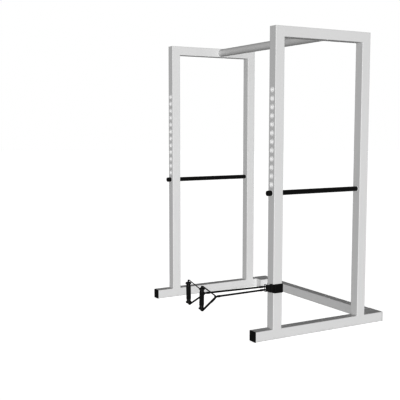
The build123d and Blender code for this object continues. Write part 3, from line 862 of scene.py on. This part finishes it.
def make_sleeve(line):
    """Moulded handle-end sleeve, with the eye that the link's bar goes through."""
    built = bmesh.new()
    rim = refined([(-4.9 * MM, 2.2 * MM), (-4.9 * MM, 4.4 * MM), (-4.2 * MM, 4.9 * MM),
                   (4.2 * MM, 4.9 * MM), (4.9 * MM, 4.4 * MM), (4.9 * MM, 2.2 * MM),
                   (-4.9 * MM, 2.2 * MM)], 1.0 * MM)
    lathe(built, line.apex - line.along * 14 * MM, line.across, rim, 36)
    lathe(built, line.apex, -line.along, ferrule(16.6 * MM, 42 * MM, SLEEVE_SEAT), 48)
    moulding = fused(f"sleeve_{line.side}", built, 0.4 * MM)
    make_piece(f"sleeve_{line.side}", moulding, "sleeve_rubber", f"handle_{line.side}",
               replaces=[f"handle_sleeve_{line.side}"])


def make_tube(line):
    """The stretched resistance tube, on a straight route from one sleeve to the other."""
    side = line.side
    route = [line.eye + line.along * EYE_SEAT, line.apex - line.along * SLEEVE_SEAT]
    points = points_of_spline(route)
    out = line.across
    other = line.along.cross(out)
    rings = [[point + (out * math.cos(a) + other * math.sin(a)) * TUBE_DIAMETER / 2
              for a in (math.tau * k / 32 for k in range(32))] for point in points]
    built = bmesh.new()
    skin(built, rings)
    tube = make_piece(f"tube_{side}", built, "tube_latex", None,
                      replaces=[f"resistance_tube_{side}"])
    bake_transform(tube)


def points_of_spline(route):
    """Points along a smooth spline with the route's points as its control points."""
    curve = bpy.data.curves.new("route", "CURVE")
    curve.dimensions = "3D"
    spline = curve.splines.new("NURBS")
    spline.points.add(len(route) - 1)
    for control, point in zip(spline.points, route):
        control.co = (*point, 1)
    spline.order_u = 3
    spline.use_endpoint_u = True
    spline.resolution_u = 48
    holder = bpy.data.objects.new("route", curve)
    mesh = bpy.data.meshes.new_from_object(holder)
    points = [vertex.co.copy() for vertex in mesh.vertices]
    bpy.data.meshes.remove(mesh)
    bpy.data.objects.remove(holder)
    bpy.data.curves.remove(curve)
    return points


def make_handle_strap(line):
    """Closed loop of webbing round the link and through the grip, sewn where its ends lap."""
    thick, width = 4.9 * MM, 20 * MM
    corners = [(a * MM, b * MM) for a, b in STRAP_CORNERS[line.side]]
    outline = rounded_outline(corners, 4.3 * MM, 4 * MM)

    def place(a, b, c=0.0):
        return line.apex + line.along * a + line.up * b + line.across * c

    points = [place(a, b) for a, b in outline]
    built = bmesh.new()
    ribbon(built, points, [width] * len(points), line.across, thick, loop=True)

    leg = Vector((corners[1][0] - corners[0][0], corners[1][1] - corners[0][1])).normalized()
    out = Vector((leg.y, -leg.x))
    lap_thick = 2.0 * MM
    lap = []
    for k in range(15):
        run = 15 * MM + k * 3.2 * MM
        ends = smooth_step(1 - k / 1.5) + smooth_step((k - 12.5) / 1.5)
        lift = thick * 0.49 + lap_thick * (0.5 - 0.4 * ends)
        spot = Vector(corners[0]) + leg * run + out * lift
        lap.append(place(spot.x, spot.y))
    ribbon(built, lap, [width] * len(lap), line.across, lap_thick)
    make_piece(f"handle_webbing_{line.side}", built, "webbing", f"handle_{line.side}",
               replaces=[f"handle_strap_{line.side}"])

    sewn = bmesh.new()
    face = thick * 0.49 + lap_thick * 0.98
    edge = width / 2 - 3 * MM

    def on_lap(run, c):
        spot = Vector(corners[0]) + leg * run + out * face
        return place(spot.x, spot.y, c)

    start, stop = 21 * MM, 53 * MM
    box = [on_lap(start, -edge), on_lap(stop, -edge), on_lap(stop, edge), on_lap(start, edge)]
    lift = line.along * out.x + line.up * out.y
    for a, b in ((0, 1), (1, 2), (2, 3), (3, 0), (0, 2), (1, 3)):
        stitches(sewn, box[a], box[b], lift, pitch=2.8 * MM)
    make_piece(f"handle_stitching_{line.side}", sewn, "thread", f"handle_{line.side}")


def make_foam(line):
    """Foam sleeve of the grip: soft ends, a slight waist, and the small dents of use."""
    half = 45 * MM
    outer, inner = 15.8 * MM, 13.1 * MM
    soft = 2.2 * MM
    profile = [(-half, inner), (-half, outer - soft)]
    profile += [(-half + soft - soft * math.cos(a), outer - soft + soft * math.sin(a))
                for a in (math.radians(d) for d in (22, 45, 67, 90))]
    profile += [(half - soft + soft * math.sin(a), outer - soft + soft * math.cos(a))
                for a in (math.radians(d) for d in (0, 22, 45, 67, 90))]
    profile += [(half, inner), (-half, inner)]

    def dent(angle, place):
        where = Vector((math.cos(angle), math.sin(angle), place * 28)) * 1.3
        worn = 0.22 * MM * noise.noise(where + Vector((SIDES[line.side] * 5, 0, 0)))
        waist = 0.25 * MM * math.cos(place / half * math.pi / 2)
        return worn + waist

    built = bmesh.new()
    lathe(built, line.grip, line.up, refined(profile, 1.6 * MM), 72, dent)
    piece = make_piece(f"foam_{line.side}", built, "grip_foam", f"grip_{line.side}",
                       replaces=[f"grip_foam_{line.side}"])


for side in SIDES:
    row_line = RowLine(side)
    make_tube(row_line)
    make_eye(row_line)
    make_sleeve(row_line)
    make_handle_strap(row_line)
    make_foam(row_line)
